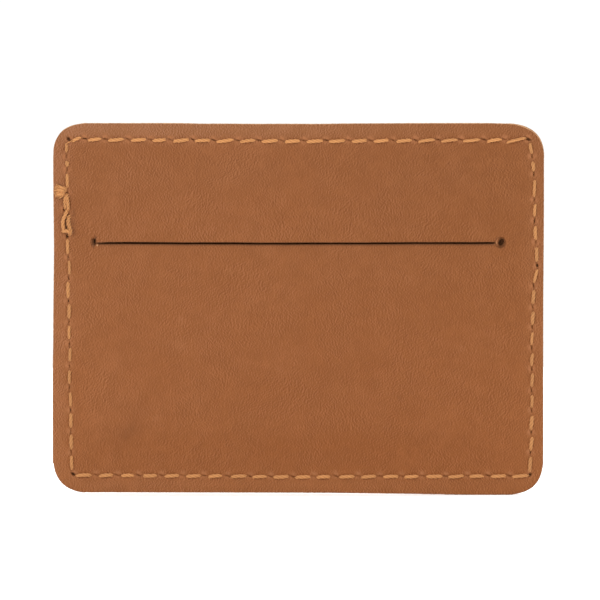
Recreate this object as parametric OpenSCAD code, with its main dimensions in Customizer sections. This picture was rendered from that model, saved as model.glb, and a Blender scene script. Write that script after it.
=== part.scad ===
// Slit-front leather card holder.
// Two leather panels of the same outline are sewn face to face on all four
// sides. Cards go in and out through one long slit in the front panel, and
// stand in the pocket between the panels.
// Frame: the holder stands on its bottom edge. X is the width, Y the
// thickness with the front face towards -Y, Z is up. The two panels meet at
// Y = 0 in the seam, and the bottom edge is at Z = 0. Millimetres.

/* [Outline] */
// Width of both panels
body_w = 104; // [98:0.5:112]
// Height of both panels
body_h = 78.8; // [74:0.2:86]
// Radius of the four outer corners
corner_r = 6.8; // [4:0.2:10]

/* [Leather] */
// Thickness of each panel
leather_t = 1.5; // [1.2:0.1:2]
// How far each panel bows outwards over the pocket
pocket_rise = 0.5; // [0.4:0.05:0.6]
// Width of the flat sewn margin around the pocket
margin_w = 6; // [5.5:0.25:7]
// Width of the slope from the margin up to the bowed middle
slope_w = 6; // [4:0.5:8]

/* [Card slit] */
// Distance between the centres of the punched end holes
slit_len = 86.2; // [85.8:0.1:88]
// Sideways offset of the slit from the middle
slit_shift = -0.3; // [-0.6:0.1:0.6]
// Height of the slit above the bottom edge
slit_z = 53.4; // [50:0.2:56]
// Width of the cut between the end holes
slit_gap = 0.4; // [0.3:0.1:0.8]
// Diameter of the punched end holes
punch_d = 2.3; // [1.8:0.1:3]

/* [Stitching] */
// Stitches along the top and along the bottom
stitches_w = 21; // [18:1:24]
// Stitches along each side
stitches_h = 16; // [14:1:18]
// Seam distance from the outer edge
seam_inset = 3.3; // [3:0.1:3.6]
// How much nearer the middle the seam runs at the foot of the left side
seam_drift = 1.0; // [0:0.1:1.2]
// Thickness of the thread as it lies on the leather
thread_d = 0.7; // [0.6:0.05:0.75]
// Width across a needle hole
hole_d = 1.4; // [1.35:0.05:1.5]

/* [Hidden] */
e = 0.01;
// Clearance between the thread and the leather it lies on
lift = 0.05;
leather_colour = "#a2663f";
flesh_colour = "#98603c";
thread_colour = "#d3965c";
// Corner points of the seam, clockwise from the top left: [x, z]
seam = [
    [-body_w / 2 + seam_inset,              body_h - seam_inset - 0.2],
    [ body_w / 2 - seam_inset,              body_h - seam_inset - 0.2],
    [ body_w / 2 - seam_inset + 0.2,        seam_inset + 0.9],
    [-body_w / 2 + seam_inset + seam_drift, seam_inset + 1.0]
];
counts = [stitches_w, stitches_h, stitches_w, stitches_h];
// The end of one side of the seam, its length, and its direction in degrees
function seam_end(k) = seam[(k + 1) % 4];
function side_len(k) = norm(seam_end(k) - seam[k]);
function side_dir(k) = atan2(seam_end(k)[1] - seam[k][1], seam_end(k)[0] - seam[k][0]);
// Needle hole i of side k
function hole_at(k, i) = seam[k] + (seam_end(k) - seam[k]) * i / counts[k];
// A hole of the left side, counted from the top of the side
function left_hole(i) = hole_at(3, counts[3] - i);

// Flat rounded rectangle in X and Z, standing up, with its near face at y0
module slab(inset, y0, t) {
    r = max(corner_r - inset, 1.5);
    w = body_w - 2 * inset;
    h = body_h - 2 * inset;
    translate([0, y0 + t, body_h / 2]) rotate([90, 0, 0]) linear_extrude(t) {
        square([w - 2 * r, h], center = true);
        square([w, h - 2 * r], center = true);
        for (sx = [-1, 1], sz = [-1, 1])
            translate([sx * (w / 2 - r), sz * (h / 2 - r)]) circle(r, $fn = 64);
    }
}

// Thin slab with faceted corners, an end of a sloping pillow shape
module pillow_end(inset, y0) {
    r = max(corner_r - inset, 2);
    w = body_w - 2 * inset;
    h = body_h - 2 * inset;
    translate([0, y0, body_h / 2]) rotate([90, 0, 0])
        for (sx = [-1, 1], sz = [-1, 1])
            translate([sx * (w / 2 - r), sz * (h / 2 - r)])
                cylinder(e, r = r, center = true, $fn = 32);
}

// Low pillow with sloping sides, from the margin at y0 out to the bowed
// middle at y1
module pillow(y0, y1) {
    hull() {
        pillow_end(margin_w, y0);
        pillow_end(margin_w + slope_w, y1);
    }
}

// Needle holes along all four sides of one panel
module needle_holes(y0, t) {
    for (k = [0:3], i = [0:counts[k] - 1])
        translate([hole_at(k, i)[0], y0 + t, hole_at(k, i)[1]])
            rotate([90, 0, 0]) rotate([0, 0, side_dir(k) + 22.5]) cylinder(t, d = hole_d, $fn = 8);
}

// Panel with its outer face towards -Y
module bowed_panel() {
    difference() {
        union() {
            slab(0, -leather_t, leather_t);
            pillow(-leather_t + 0.3, -leather_t - pocket_rise);
        }
        pillow(0.3, -pocket_rise);
        needle_holes(-leather_t - 1, leather_t + 2);
    }
}

module front_panel() {
    color(leather_colour) difference() {
        bowed_panel();
        // cut for the cards, from one punched hole to the other
        translate([slit_shift - slit_len / 2, -leather_t - 3, slit_z - slit_gap / 2])
            cube([slit_len, leather_t + 5, slit_gap]);
        for (s = [-1, 1])
            translate([slit_shift + s * slit_len / 2, 2, slit_z])
                rotate([90, 0, 0]) cylinder(leather_t + 5, d = punch_d, $fn = 48);
    }
}

module back_panel() {
    color(flesh_colour) mirror([0, 1, 0]) bowed_panel();
}

// Outline of the thread along one side of the seam: x runs along the seam,
// y is the height above the plane where the panels meet. Each stitch lies on
// the leather and dives into the needle hole at both ends.
g = 0.08;              // half the gap between the two legs in a hole
leg = 0.48;            // outer edge of a leg, from the middle of the hole
h_low = 0.1;           // lowest point of the loop in a hole
h_in = 0.45;           // top of the loop in a hole
function top_y() = leather_t + lift + thread_d;
function under_y() = leather_t + lift;
module thread_outline(k) {
    n = counts[k];
    len = side_len(k);
    p = len / n;
    polygon(concat(
        [[g, h_low], [g, top_y() - 0.4], [0.9, top_y()]],
        [for (i = [1:n - 1]) each [
            [i * p - 0.9, top_y()], [i * p - g, top_y() - 0.4], [i * p - g, h_in],
            [i * p + g, h_in], [i * p + g, top_y() - 0.4], [i * p + 0.9, top_y()]]],
        [[len - 0.9, top_y()], [len - g, top_y() - 0.4], [len - g, h_low]],
        [[len - leg, h_low], [len - leg, under_y()]],
        [for (i = [n - 1:-1:1]) each [
            [i * p + leg, under_y()], [i * p + leg, h_low],
            [i * p - leg, h_low], [i * p - leg, under_y()]]],
        [[leg, under_y()], [leg, h_low]]
    ));
}

// Thread of the whole seam, lying on the face towards -Y
module seam_thread() {
    for (k = [0:3])
        translate([seam[k][0], 0, seam[k][1]]) rotate([0, -side_dir(k), 0])
            mirror([0, 1, 0]) translate([0, 0, -thread_d / 2])
                linear_extrude(thread_d) thread_outline(k);
}

module needle_thread() {
    color(thread_colour) seam_thread();
}

module bobbin_thread() {
    color(thread_colour) mirror([0, 1, 0]) seam_thread();
}

// Strand of thread that lies on the front face from point a to point b,
// bowed sideways by b0 in the middle: points [x, z]
module strand(a, b, bow, w) {
    n = 10;
    d = (b - a) / norm(b - a);
    q = [-d[1], d[0]];
    function at(i, o) = a + (b - a) * i / n + q * (bow * sin(180 * i / n) + o);
    translate([0, -leather_t - lift, 0]) rotate([90, 0, 0])
        linear_extrude(thread_d - 0.1)
            polygon(concat([for (i = [0:n]) at(i, w / 2)], [for (i = [n:-1:0]) at(i, -w / 2)]));
}

// Second run of stitches over the end of the seam, high on the left side
module backtack() {
    color(thread_colour) {
        strand(left_hole(3) + [-0.75, -0.3], left_hole(4) + [-0.75, 0.5], 0.1, 0.6);
        strand(left_hole(4) + [-0.75, 0], left_hole(5) + [-0.75, -0.6], -1, 0.6);
    }
}

// Cut end of the thread, frayed into a flat tuft that points to the edge
module thread_tail() {
    c = left_hole(3);
    color(thread_colour) translate([0, -leather_t - lift, 0]) rotate([90, 0, 0])
        linear_extrude(thread_d - 0.1)
            polygon([c + [-0.5, 0.1], c + [-0.5, 0.9], c + [-1.2, 2.2], c + [-1.9, 2.1],
                     c + [-2.4, 1.2], c + [-2.2, 0.7], c + [-1.2, 0.3]]);
}

front_panel();
back_panel();
needle_thread();
bobbin_thread();
backtack();
thread_tail();
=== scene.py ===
"""Slit-front leather card holder: two sewn leather panels, thread, backtack and thread tail."""
import math

import bpy
import numpy as np
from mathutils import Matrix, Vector
from mathutils.geometry import delaunay_2d_cdt


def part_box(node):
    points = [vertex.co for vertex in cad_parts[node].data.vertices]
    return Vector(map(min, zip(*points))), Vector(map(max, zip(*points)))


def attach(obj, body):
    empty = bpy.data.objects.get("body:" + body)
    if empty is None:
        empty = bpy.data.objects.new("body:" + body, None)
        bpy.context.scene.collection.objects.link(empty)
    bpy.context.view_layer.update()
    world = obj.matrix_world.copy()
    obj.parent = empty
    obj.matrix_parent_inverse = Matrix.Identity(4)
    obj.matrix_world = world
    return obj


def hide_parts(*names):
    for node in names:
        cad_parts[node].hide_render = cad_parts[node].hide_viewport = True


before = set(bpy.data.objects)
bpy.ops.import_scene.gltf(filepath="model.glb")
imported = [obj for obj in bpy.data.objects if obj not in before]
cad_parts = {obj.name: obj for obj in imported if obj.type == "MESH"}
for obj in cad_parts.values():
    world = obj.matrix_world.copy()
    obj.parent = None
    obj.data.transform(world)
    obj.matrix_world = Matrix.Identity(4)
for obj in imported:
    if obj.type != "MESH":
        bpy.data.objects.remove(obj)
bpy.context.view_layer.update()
MM = 0.001

# ---------------------------------------------------------------- sizes, mm
front_lo, front_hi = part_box("front_panel")
HALF_W = front_hi.x / MM
HEIGHT = front_hi.z / MM
THICK = 1.5  # one panel
BOW = -front_lo.y / MM - THICK  # how far a panel bows out over the pocket
CORNER = 6.65
SLIT_Z = 53.42
# the punched end holes flare towards the grain side: centre and half sizes at
# the surface, then centre, half sizes and lean where the wall turns straight
PUNCH = [((-43.58, 53.72, 0.90, 1.12), (-43.17, 53.70, 0.17, 0.44, -0.06)),
         ((42.74, 53.46, 1.24, 1.26), (42.95, 53.54, 0.55, 0.73, 0.22))]
THREAD_R = 0.41


def smooth(t):
    t = np.clip(t, 0, 1)
    return t * t * (3 - 2 * t)


def bump(t):
    return np.exp(-t * t)


# Visible ends of the stitches along each side, in mm, and how far each end
# lies off the seam line. Hand-guided work, so no two are the same.
TOP = [(-48.0, -46.2), (-44.7, -41.8), (-40.4, -37.0), (-35.5, -32.3), (-30.9, -28.1), (-26.6, -23.2),
       (-22.0, -18.8), (-17.4, -13.8), (-12.4, -9.2), (-7.8, -4.4), (-2.9, 0.3), (1.7, 5.2), (6.4, 9.8),
       (11.3, 14.5), (15.9, 19.1), (20.7, 24.0), (25.3, 28.9), (30.2, 33.7), (34.8, 38.4), (39.9, 43.1), (44.1, 48.0)]
BOTTOM = [(-47.2, -43.9), (-42.3, -39.3), (-37.6, -34.8), (-33.0, -30.0), (-28.4, -25.3), (-23.9, -20.7),
          (-19.2, -16.2), (-14.4, -11.0), (-9.9, -6.7), (-5.4, -2.1), (-0.7, 2.6), (3.8, 6.7), (8.6, 11.9),
          (13.2, 16.4), (17.9, 21.2), (22.4, 25.4), (27.0, 30.5), (31.6, 35.0), (36.1, 39.3), (40.7, 44.0), (45.2, 48.6)]
LEFT = [(74.5, 72.5), (70.7, 69.6), (68.1, 65.0), (63.4, 60.4), (60.2, 55.2), (54.3, 50.9), (49.8, 46.5), (45.2, 41.6),
        (40.5, 37.3), (36.0, 32.9), (31.2, 28.2), (26.5, 23.4), (21.8, 18.6), (17.4, 14.2), (12.8, 9.6), (8.4, 5.2)]
RIGHT = [(74.6, 72.2), (70.6, 68.5), (66.8, 63.0), (61.7, 58.9), (57.0, 54.0), (52.5, 49.3), (47.9, 44.8), (43.4, 40.4),
         (38.8, 36.0), (34.6, 31.6), (30.0, 27.2), (25.8, 22.8), (21.2, 18.4), (16.8, 13.7), (12.3, 9.4), (8.1, 4.7)]
# where the top and the foot of each upright stitch sit across the column
LEFT_X = [(-49.28, -49.28), (-49.20, -49.08), (-49.15, -49.12), (-49.2, -49.2), (-49.2, -49.2), (-49.08, -48.97), (-48.74, -48.68),
          (-48.94, -48.91), (-48.70, -48.79), (-48.68, -48.72), (-48.50, -48.59), (-48.60, -48.67), (-48.49, -48.39), (-48.33, -48.35),
          (-48.28, -48.26), (-48.22, -48.11)]
RIGHT_X = [(48.98, 49.36), (49.60, 49.74), (50.02, 49.82), (50.14, 49.90), (50.12, 50.18), (50.42, 50.42), (50.58, 49.80), (49.86, 49.54),
           (49.71, 49.47), (49.56, 49.32), (49.53, 49.32), (49.56, 49.30), (49.46, 49.32), (49.47, 49.13), (49.49, 49.09), (49.14, 48.90)]


def top_z(x):
    return np.interp(x, [-48.4, -42, -20.9, 0.3, 21.5, 42.7, 48], [75.5, 75.4, 75.2, 75.03, 75.14, 75.24, 75.3])


def bottom_z(x):
    return np.interp(x, [-47.4, -20.9, 0.3, 21.5, 46.9], [4.26, 4.09, 3.88, 3.96, 4.09])


def left_x(z):
    return np.interp(z, [6.8, 20.2, 41.4, 54.1, 65.1, 74], [-48.09, -48.41, -48.79, -49.07, -49.17, -49.36])


def right_x(z):
    return np.interp(z, [6.4, 20.2, 37.1, 43.5, 47.3, 49.3, 51, 55.1, 62.5, 70, 73.6],
                     [49.07, 49.32, 49.53, 49.72, 50.3, 50.55, 50.3, 50.0, 50.0, 49.64, 49.0])


rng = np.random.default_rng(7)


def make_stitches():
    """Every stitch as (x1, z1, x2, z2), and every needle hole as
    (x, z, direction x, direction z, half length, half width, strength)."""
    st, holes = [], []
    slant_t = rng.uniform(0.08, 0.24, 21)
    slant_t[0], slant_t[7], slant_t[20] = 0.42, 0.27, 0.46
    slant_b = rng.uniform(0.04, 0.18, 21)
    for (a, b), s in zip(TOP, slant_t):
        st.append((a, top_z(a) - s, b, top_z(b) + s))
    for (a, b), s in zip(BOTTOM, slant_b):
        st.append((a, bottom_z(a) - s, b, bottom_z(b) + s))
    for (a, b), (xa, xb) in list(zip(LEFT, LEFT_X)) + list(zip(RIGHT, RIGHT_X)):
        st.append((xa, a, xb, b))
    for k, (lst, fx) in enumerate(((TOP, top_z), (BOTTOM, bottom_z), (LEFT, LEFT_X), (RIGHT, RIGHT_X))):
        for i in range(len(lst) - 1):
            w = (0.58, 0.55, 0.48, 0.36)[k] + rng.uniform(-0.08, 0.08)
            m = lst[i][1] * (1 - w) + lst[i + 1][0] * w
            gap = abs(lst[i + 1][0] - lst[i][1])
            la = min(0.62, (0.38 if k < 2 else 0.28) * gap) * rng.uniform(0.75, 1.10)
            wi = rng.uniform(0.07, 0.11)
            dark = (0.10, 0.0)[k] + 0.52 * rng.uniform(0, 1) ** (0.8, 1.6)[k] if k < 2 else rng.uniform(0.20, 0.65)
            if k < 2:
                tilt = -rng.uniform(0.05, 0.45)
                holes.append([m, fx(m) + rng.uniform(-0.02, 0.12), math.cos(tilt), math.sin(tilt), la, wi, dark])
            else:
                tilt = math.pi / 2 + rng.uniform(-0.30, 0.25)
                x = fx[i][1] * 0.6 + fx[i + 1][0] * 0.4 + (0.08 if k == 2 else 0.0)
                holes.append([x, m, math.cos(tilt), math.sin(tilt), la, wi, dark])
    # the four corner holes, and the wider ones at the backtack
    for x, z, a, la, wi in ((-48.72, 75.40, -0.95, 0.48, 0.29), (48.60, 75.38, -0.45, 0.60, 0.24), (-47.76, 4.40, -0.7, 0.44, 0.25),
                            (49.00, 4.24, 0.8, 0.42, 0.25)):
        holes.append([x, z, math.cos(a), math.sin(a), la, wi, 1.25])
    h = np.array(holes)
    for x, z, la, wi in ((-49.08, 63.85, 0.40, 0.26), (-49.60, 60.44, 0.28, 0.24), (-48.98, 54.82, 0.40, 0.24), (50.56, 48.64, 0.36, 0.20)):
        i = np.argmin((h[:, 0] - x) ** 2 + (h[:, 1] - z) ** 2)
        h[i, 0], h[i, 1], h[i, 4], h[i, 5], h[i, 6] = x, z, la, wi, 1.3
    return np.array(st), h


STITCH, HOLE = make_stitches()
SEAM = np.array(
    [(-48.8, 75.4)] + [(x, top_z(x)) for x in np.linspace(-46, 46, 24)] + [(48.6, 75.3)]
    + [(right_x(z), z) for z in np.linspace(73, 6.5, 20)] + [(48.9, 4.2)]
    + [(x, bottom_z(x)) for x in np.linspace(46, -45, 24)] + [(-47.7, 4.4)]
    + [(left_x(z), z) for z in np.linspace(7, 73.5, 20)])


# ------------------------------------------------------------ plane geometry
def edge_left(z):
    return -HALF_W + 0.17 * bump((z - 52) / 10) - 0.09 * smooth((34 - z) / 8)


def edge_right(z):
    return HALF_W - 0.16 * smooth((66 - z) / 34)


def edge_top(x):
    return HEIGHT - 0.02 - 0.15 * bump((x + 8) / 14) - 0.05 * bump((x + 20) / 3) - 0.06 * bump((x - 4) / 4) - 0.05 * bump((x - 14) / 12) \
        - 0.14 * smooth((x - 39) / 7)


def edge_bottom(x):
    return np.interp(x, [-46, -40, -20, 5, 17, 26, 34, 40, 46], [0.56, 0.56, 0.52, 0.47, 0.33, 0.20, 0.07, 0.0, 0.09])


def outline(step=0.3):
    """Closed outline of a panel, clockwise as seen from the front."""
    r = CORNER
    p, done = [], []

    def arc(cx, cz, a0, a1):
        n = int(abs(a1 - a0) * r / step)
        for i in range(n):
            a = a0 + (a1 - a0) * i / n
            q = r + float(np.interp(i / n, [0, 0.1, 0.2, 0.35, 0.5, 0.65, 0.8, 0.9, 1], full[len(done)]))
            p.append((cx + q * math.cos(a), cz + q * math.sin(a)))
        done.append(1)

    x0, x1 = -HALF_W + r, HALF_W - r
    # the corners were rounded by hand: each is a little fuller or flatter along its turn
    full = [(-0.01, -0.11, -0.11, -0.08, 0.03, 0.07, 0.00, -0.01, 0.01),
            (-0.02, -0.05, -0.05, 0.02, 0.07, 0.00, -0.10, -0.10, -0.02),
            (0.04, 0.00, -0.04, 0.00, 0.02, -0.04, -0.12, -0.15, -0.09),
            (-0.04, 0.01, 0.10, 0.18, 0.25, 0.14, -0.01, -0.06, -0.04)]
    for x in np.arange(x0, x1, step):
        p.append((x, float(edge_top(x))))
    arc(float(edge_right(HEIGHT - r)) - r, float(edge_top(x1)) - r, math.pi / 2, 0)
    for z in np.arange(HEIGHT - r, r, -step):
        p.append((float(edge_right(z)), z))
    arc(float(edge_right(r)) - r, float(edge_bottom(x1)) + r, 0, -math.pi / 2)
    for x in np.arange(x1, x0, -step):
        p.append((x, float(edge_bottom(x))))
    arc(float(edge_left(r)) + r, float(edge_bottom(x0)) + r, -math.pi / 2, -math.pi)
    for z in np.arange(r, HEIGHT - r, step):
        p.append((float(edge_left(z)), z))
    arc(float(edge_left(HEIGHT - r)) + r, float(edge_top(x0)) - r, math.pi, math.pi / 2)
    p = np.array(p)
    # even spacing
    q = np.vstack([p, p[:1]])
    s = np.concatenate([[0], np.cumsum(np.hypot(*np.diff(q, axis=0).T))])
    n = int(s[-1] / step)
    t = np.linspace(0, s[-1], n, endpoint=False)
    return np.column_stack([np.interp(t, s, q[:, 0]), np.interp(t, s, q[:, 1])])


def inward(loop):
    """Inward normals of a clockwise loop, smoothed."""
    d = np.roll(loop, -2, 0) - np.roll(loop, 2, 0)
    d /= np.hypot(d[:, 0], d[:, 1])[:, None]
    return np.column_stack([d[:, 1], -d[:, 0]])


def dist_poly(p, poly, closed=True):
    """Distance from points to a polyline."""
    a = poly
    b = np.roll(poly, -1, 0) if closed else poly[1:]
    a = a if closed else poly[:-1]
    out = np.full(len(p), 1e9)
    for i in range(0, len(p), 4000):
        q = p[i:i + 4000, None, :]
        ab = (b - a)[None]
        t = np.clip(((q - a[None]) * ab).sum(2) / np.maximum((ab ** 2).sum(2), 1e-12), 0, 1)
        c = a[None] + ab * t[..., None]
        out[i:i + 4000] = np.sqrt(((q - c) ** 2).sum(2).min(1))
    return out


def border_dist(p, poly, reach):
    """Distance to a loop that runs round the border, capped well inside it."""
    x, z = p[:, 0], p[:, 1]
    near = (np.abs(x) > HALF_W - reach - 5) | (z > HEIGHT - reach - 5) | (z < reach + 5)
    out = np.full(len(p), reach + 0.0)
    out[near] = dist_poly(p[near], poly)
    return out


def inside_border(p, poly):
    m = (np.abs(p[:, 0]) > HALF_W - 8) | (p[:, 1] > HEIGHT - 8) | (p[:, 1] < 8)
    out = np.ones(len(p), bool)
    out[m] = inside(p[m], poly)
    return out


def inside(p, poly):
    """Even-odd test, points against a closed polygon."""
    x0, z0 = poly[:, 0], poly[:, 1]
    x1, z1 = np.roll(x0, -1), np.roll(z0, -1)
    out = np.zeros(len(p), bool)
    for i in range(0, len(p), 4000):
        px, pz = p[i:i + 4000, 0][:, None], p[i:i + 4000, 1][:, None]
        hit = (z0 > pz) != (z1 > pz)
        with np.errstate(divide="ignore", invalid="ignore"):
            cx = (x1 - x0) * (pz - z0) / (z1 - z0) + x0
        out[i:i + 4000] = (hit & (px < cx)).sum(1) % 2 == 1
    return out


def wave(p, seed, size, n=14):
    """Smooth seeded undulation of about -1 to 1, features of the given size."""
    g = np.random.default_rng(seed)
    out = np.zeros(len(p))
    for _ in range(n):
        a, f, ph = g.uniform(0, 2 * math.pi), g.uniform(0.6, 1.6) * 2 * math.pi / (2 * size), g.uniform(0, 2 * math.pi)
        out += np.sin((p[:, 0] * math.cos(a) + p[:, 1] * math.sin(a)) * f + ph)
    return out / math.sqrt(n)


def slit_centre(x):
    return SLIT_Z - 0.03 - 0.13 * bump((x + 4) / 26) + 0.015 * np.sin(x * 0.31) + 0.008 * np.sin(x * 0.83)


def slit_half(x):
    """Half width of the cut: narrow where it runs into the punched holes."""
    end = np.minimum((x + 42.7) / 2.6, (42.0 - x) / 0.9)
    return (0.035 + 0.012 * (x < 0)) + (0.128 + 0.010 * (x < 0)) * smooth(end) + 0.012 * np.sin(x * 0.37 + 1)


def oval(p, cx, cz, a, b, lean=0.0):
    """Normalised radius and rough distance to a leaning oval."""
    x, z = p[:, 0] - cx, p[:, 1] - cz
    x = x - lean * z
    e = np.hypot(x / a, z / b)
    return e, (e - 1) * (a * b) / np.maximum(np.hypot(b * x, a * z) / np.maximum(np.hypot(x, z), 1e-6), 1e-6)


def slit_sdf(p):
    """Signed distance to the cut and its punched holes, negative inside."""
    x, z = p[:, 0], p[:, 1]
    xa, xb = PUNCH[0][1][0], PUNCH[1][1][0]
    dx = np.maximum(np.maximum(xa - x, x - xb), 0)
    dz = np.abs(z - slit_centre(x)) - slit_half(x)
    d = np.hypot(dx, np.maximum(dz, 0)) + np.minimum(np.maximum(dz, -1) * (dx == 0), 0)
    for _, (cx, cz, a, b, lean) in PUNCH:
        c = oval(p, cx, cz, a, b, lean)[1]
        k = 0.14
        h = np.clip(0.5 + 0.5 * (c - d) / k, 0, 1)
        d = c * (1 - h) + d * h - k * h * (1 - h)
    return d


def flare(p):
    """0 on the flat leather, 1 where the wall of a punched hole turns straight down."""
    out = np.zeros(len(p))
    for (ox, oz, oa, ob), (ix, iz, ia, ib, lean) in PUNCH:
        eo = oval(p, ox, oz, oa, ob)[0]
        ei = oval(p, ix, iz, ia, ib, lean)[0]
        a, b = np.maximum(1 - eo, 0), np.maximum(ei - 1, 0)
        out = np.maximum(out, np.where(eo < 1, a / np.maximum(a + b, 1e-6), 0))
    return out


def grad(f, p, e=0.004):
    gx = (f(p + [e, 0]) - f(p - [e, 0])) / (2 * e)
    gz = (f(p + [0, e]) - f(p - [0, e])) / (2 * e)
    g = np.column_stack([gx, gz])
    return g / np.maximum(np.hypot(gx, gz), 0.2)[:, None]


def to_level(p, level):
    for _ in range(6):
        p = p - grad(slit_sdf, p) * (slit_sdf(p) - level)[:, None]
    return p


def slit_loop():
    """Counter-clockwise loop round the cut and the punched holes."""
    p = []
    (lx, lz, la, lb, _), (rx, rz, ra, rb, _) = PUNCH[0][1], PUNCH[1][1]
    for x in np.arange(lx + la + 0.1, rx - ra - 0.1, 0.28):
        p.append((x, slit_centre(x) - 0.2))
    for a in np.linspace(-math.pi + 0.35, math.pi - 0.35, 60):
        p.append((rx + ra * math.cos(a) + PUNCH[1][1][4] * rb * math.sin(a), rz + rb * math.sin(a)))
    for x in np.arange(rx - ra - 0.1, lx + la + 0.1, -0.28):
        p.append((x, slit_centre(x) + 0.2))
    for a in np.linspace(0.35, 2 * math.pi - 0.35, 60):
        p.append((lx + la * math.cos(a) + PUNCH[0][1][4] * lb * math.sin(a), lz + lb * math.sin(a)))
    p = np.array(p, float)
    for _ in range(3):
        p = to_level(p, 0.0)
        q = np.vstack([p, p[:1]])
        s = np.concatenate([[0], np.cumsum(np.hypot(*np.diff(q, axis=0).T))])
        # finer round the holes
        t = np.linspace(0, s[-1], 2400, endpoint=False)
        x = np.interp(t, s, q[:, 0])
        w = 1 + 2.6 * (bump((x - lx) / 2.0) + bump((x - rx) / 2.0))
        c = np.cumsum(w)
        u = np.interp(np.linspace(c[0], c[-1], 800), c, t)
        p = np.column_stack([np.interp(u, s, q[:, 0]), np.interp(u, s, q[:, 1])])
    return to_level(p, 0.0)


# ------------------------------------------------------------ height of the
# outer face over the plane in which the panels meet
def face_height(p, side, outl, loop=None):
    din = border_dist(p, outl[::3], 15.0)
    ds = border_dist(p, SEAM, 6.0)
    h = THICK + BOW * smooth((din - 6.0) / 8.0)
    h = h + wave(p, 11 + side, 9) * 0.030 * smooth((din - 3) / 6) + wave(p, 21 + side, 3.5) * 0.008
    h -= 0.06 * bump(ds / 1.5)
    h -= 0.12 * bump(din / 0.85)
    x, z = p[:, 0], p[:, 1]
    # the thread beds into the leather
    for i, (x1, z1, x2, z2) in enumerate(STITCH):
        m = (np.abs(x - (x1 + x2) / 2) < 4) & (np.abs(z - (z1 + z2) / 2) < 4)
        if not m.any():
            continue
        a, b = np.array([x1, z1]), np.array([x2, z2])
        q = p[m]
        t = np.clip(((q - a) @ (b - a)) / ((b - a) @ (b - a)), 0, 1)
        d = np.hypot(*(q - (a + t[:, None] * (b - a))).T)
        mid = smooth(np.minimum(t, 1 - t) * 5)
        h[m] += (-0.16 * bump(d / 0.56) + 0.03 * bump((d - 0.85) / 0.35)) * mid
    pit = np.zeros(len(p))
    lip = np.zeros(len(p))
    raw = np.zeros(len(p))
    ge = np.random.default_rng(70 + side)
    # painted shade in the dimple where each stitch goes into the leather
    for i, (x1, z1, x2, z2) in enumerate(STITCH):
        d = np.array([x2 - x1, z2 - z1]) / math.hypot(x2 - x1, z2 - z1)
        for ex, ez, sg in ((x1, z1, -1), (x2, z2, 1)):
            k1, k2 = ge.uniform(0.14, 0.40), ge.uniform(0.7, 1.2)
            m = (np.abs(x - ex) < 1) & (np.abs(z - ez) < 1)
            if m.any():
                u = ((x[m] - ex) * d[0] + (z[m] - ez) * d[1]) * sg - 0.08
                v = -(x[m] - ex) * d[1] + (z[m] - ez) * d[0]
                r2 = (u / 0.24) ** 2 + (v / 0.24) ** 2
                h[m] -= 0.16 * k2 * np.exp(-r2 ** 1.3)
                pit[m] = np.maximum(pit[m], k1 * np.exp(-r2 ** 1.5))
    g = np.random.default_rng(50 + side)
    for hx, hz, dx, dz, la, wi, dark in HOLE:
        amp, skew = g.uniform(0.7, 1.2), g.uniform(-0.25, 0.25)
        m = (np.abs(x - hx) < 3) & (np.abs(z - hz) < 3)
        if not m.any():
            continue
        s = (x[m] - hx) * dx + (z[m] - hz) * dz
        t = -(x[m] - hx) * dz + (z[m] - hz) * dx
        k = (s / la) ** 2 + (t / wi) ** 2
        h[m] -= 0.60 * min(dark, 1.0) * np.exp(-k ** 1.4)
        # painted shade in each needle hole
        pit[m] = np.maximum(pit[m], min(dark, 1.0) * np.exp(-(k / 1.15) ** 1.5))
        # leather squeezed up between two stitches, a small tongue each side
        at = np.abs(t)
        upper = np.where(t > 0, 1.0, 0.62)
        width = np.maximum(0.80 - 0.40 * at, 0.12)
        tongue = bump((at - 0.48) / 0.40) * bump((s - skew * at) / width) * (1 - np.exp(-(k / 1.8))) * upper
        h[m] += 0.13 * amp * tongue
        # the skin bridging two stitches is drawn up level with the face
        bridge = bump(t / 0.5) * bump(s / 0.62) * (1 - np.exp(-(k / 1.6)))
        h[m] += 0.09 * bridge
        # painted highlight: the raised tongues and bridges are painted paler
        lip[m] = np.maximum(lip[m], amp * np.maximum(1.45 * tongue, 0.45 * bridge))
        h[m] -= 0.05 * bump((at - 1.35) / 0.5) * bump(s / 0.8)
        # specks of torn grain beside some of the holes
        for _ in range(g.integers(0, 3)):
            sa, sb, sr = g.uniform(-0.6, 0.6), g.choice([-1, 1]) * g.uniform(0.16, 0.5), g.uniform(0.07, 0.13)
            raw[m] = np.maximum(raw[m], g.uniform(0.35, 0.8) * bump(np.hypot((s - sa) / (sr * 1.5), (t - sb) / sr)))
    if loop is not None:
        # the leather is drawn up in a ridge beside the doubled run, with a crease along it; the crease is painted dark
        # as its shade and the ridge paler as a highlight
        for cz, cx, lz, k in ((59.75, -47.62, 0.95, 0.34), (55.75, -47.66, 0.95, 0.38), (57.6, -47.70, 1.2, 0.18)):
            c = bump((x - cx) / 0.26) * bump((z - cz) / lz)
            h -= 0.22 * c
            pit = np.maximum(pit, k * c)
        ridge = bump((x + 48.02) / 0.34) * bump((z - 57.6) / 2.7)
        h += 0.14 * ridge
        lip = np.maximum(lip, 0.55 * ridge)
        # the flap over the slit stands a little proud of the lower lip
        inx = smooth((x - PUNCH[0][1][0] + 2) / 6) * smooth((PUNCH[1][1][0] + 2 - x) / 6)
        dz = z - slit_centre(x)
        h += np.where(dz > 0, 0.12 * np.exp(-np.maximum(dz, 0) / 3.2), -0.05 * np.exp(np.minimum(dz, 0) / 1.6)) * inx
        h += 0.02 * np.sin(x * 0.21) * bump(dz / 2.5) * inx
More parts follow.
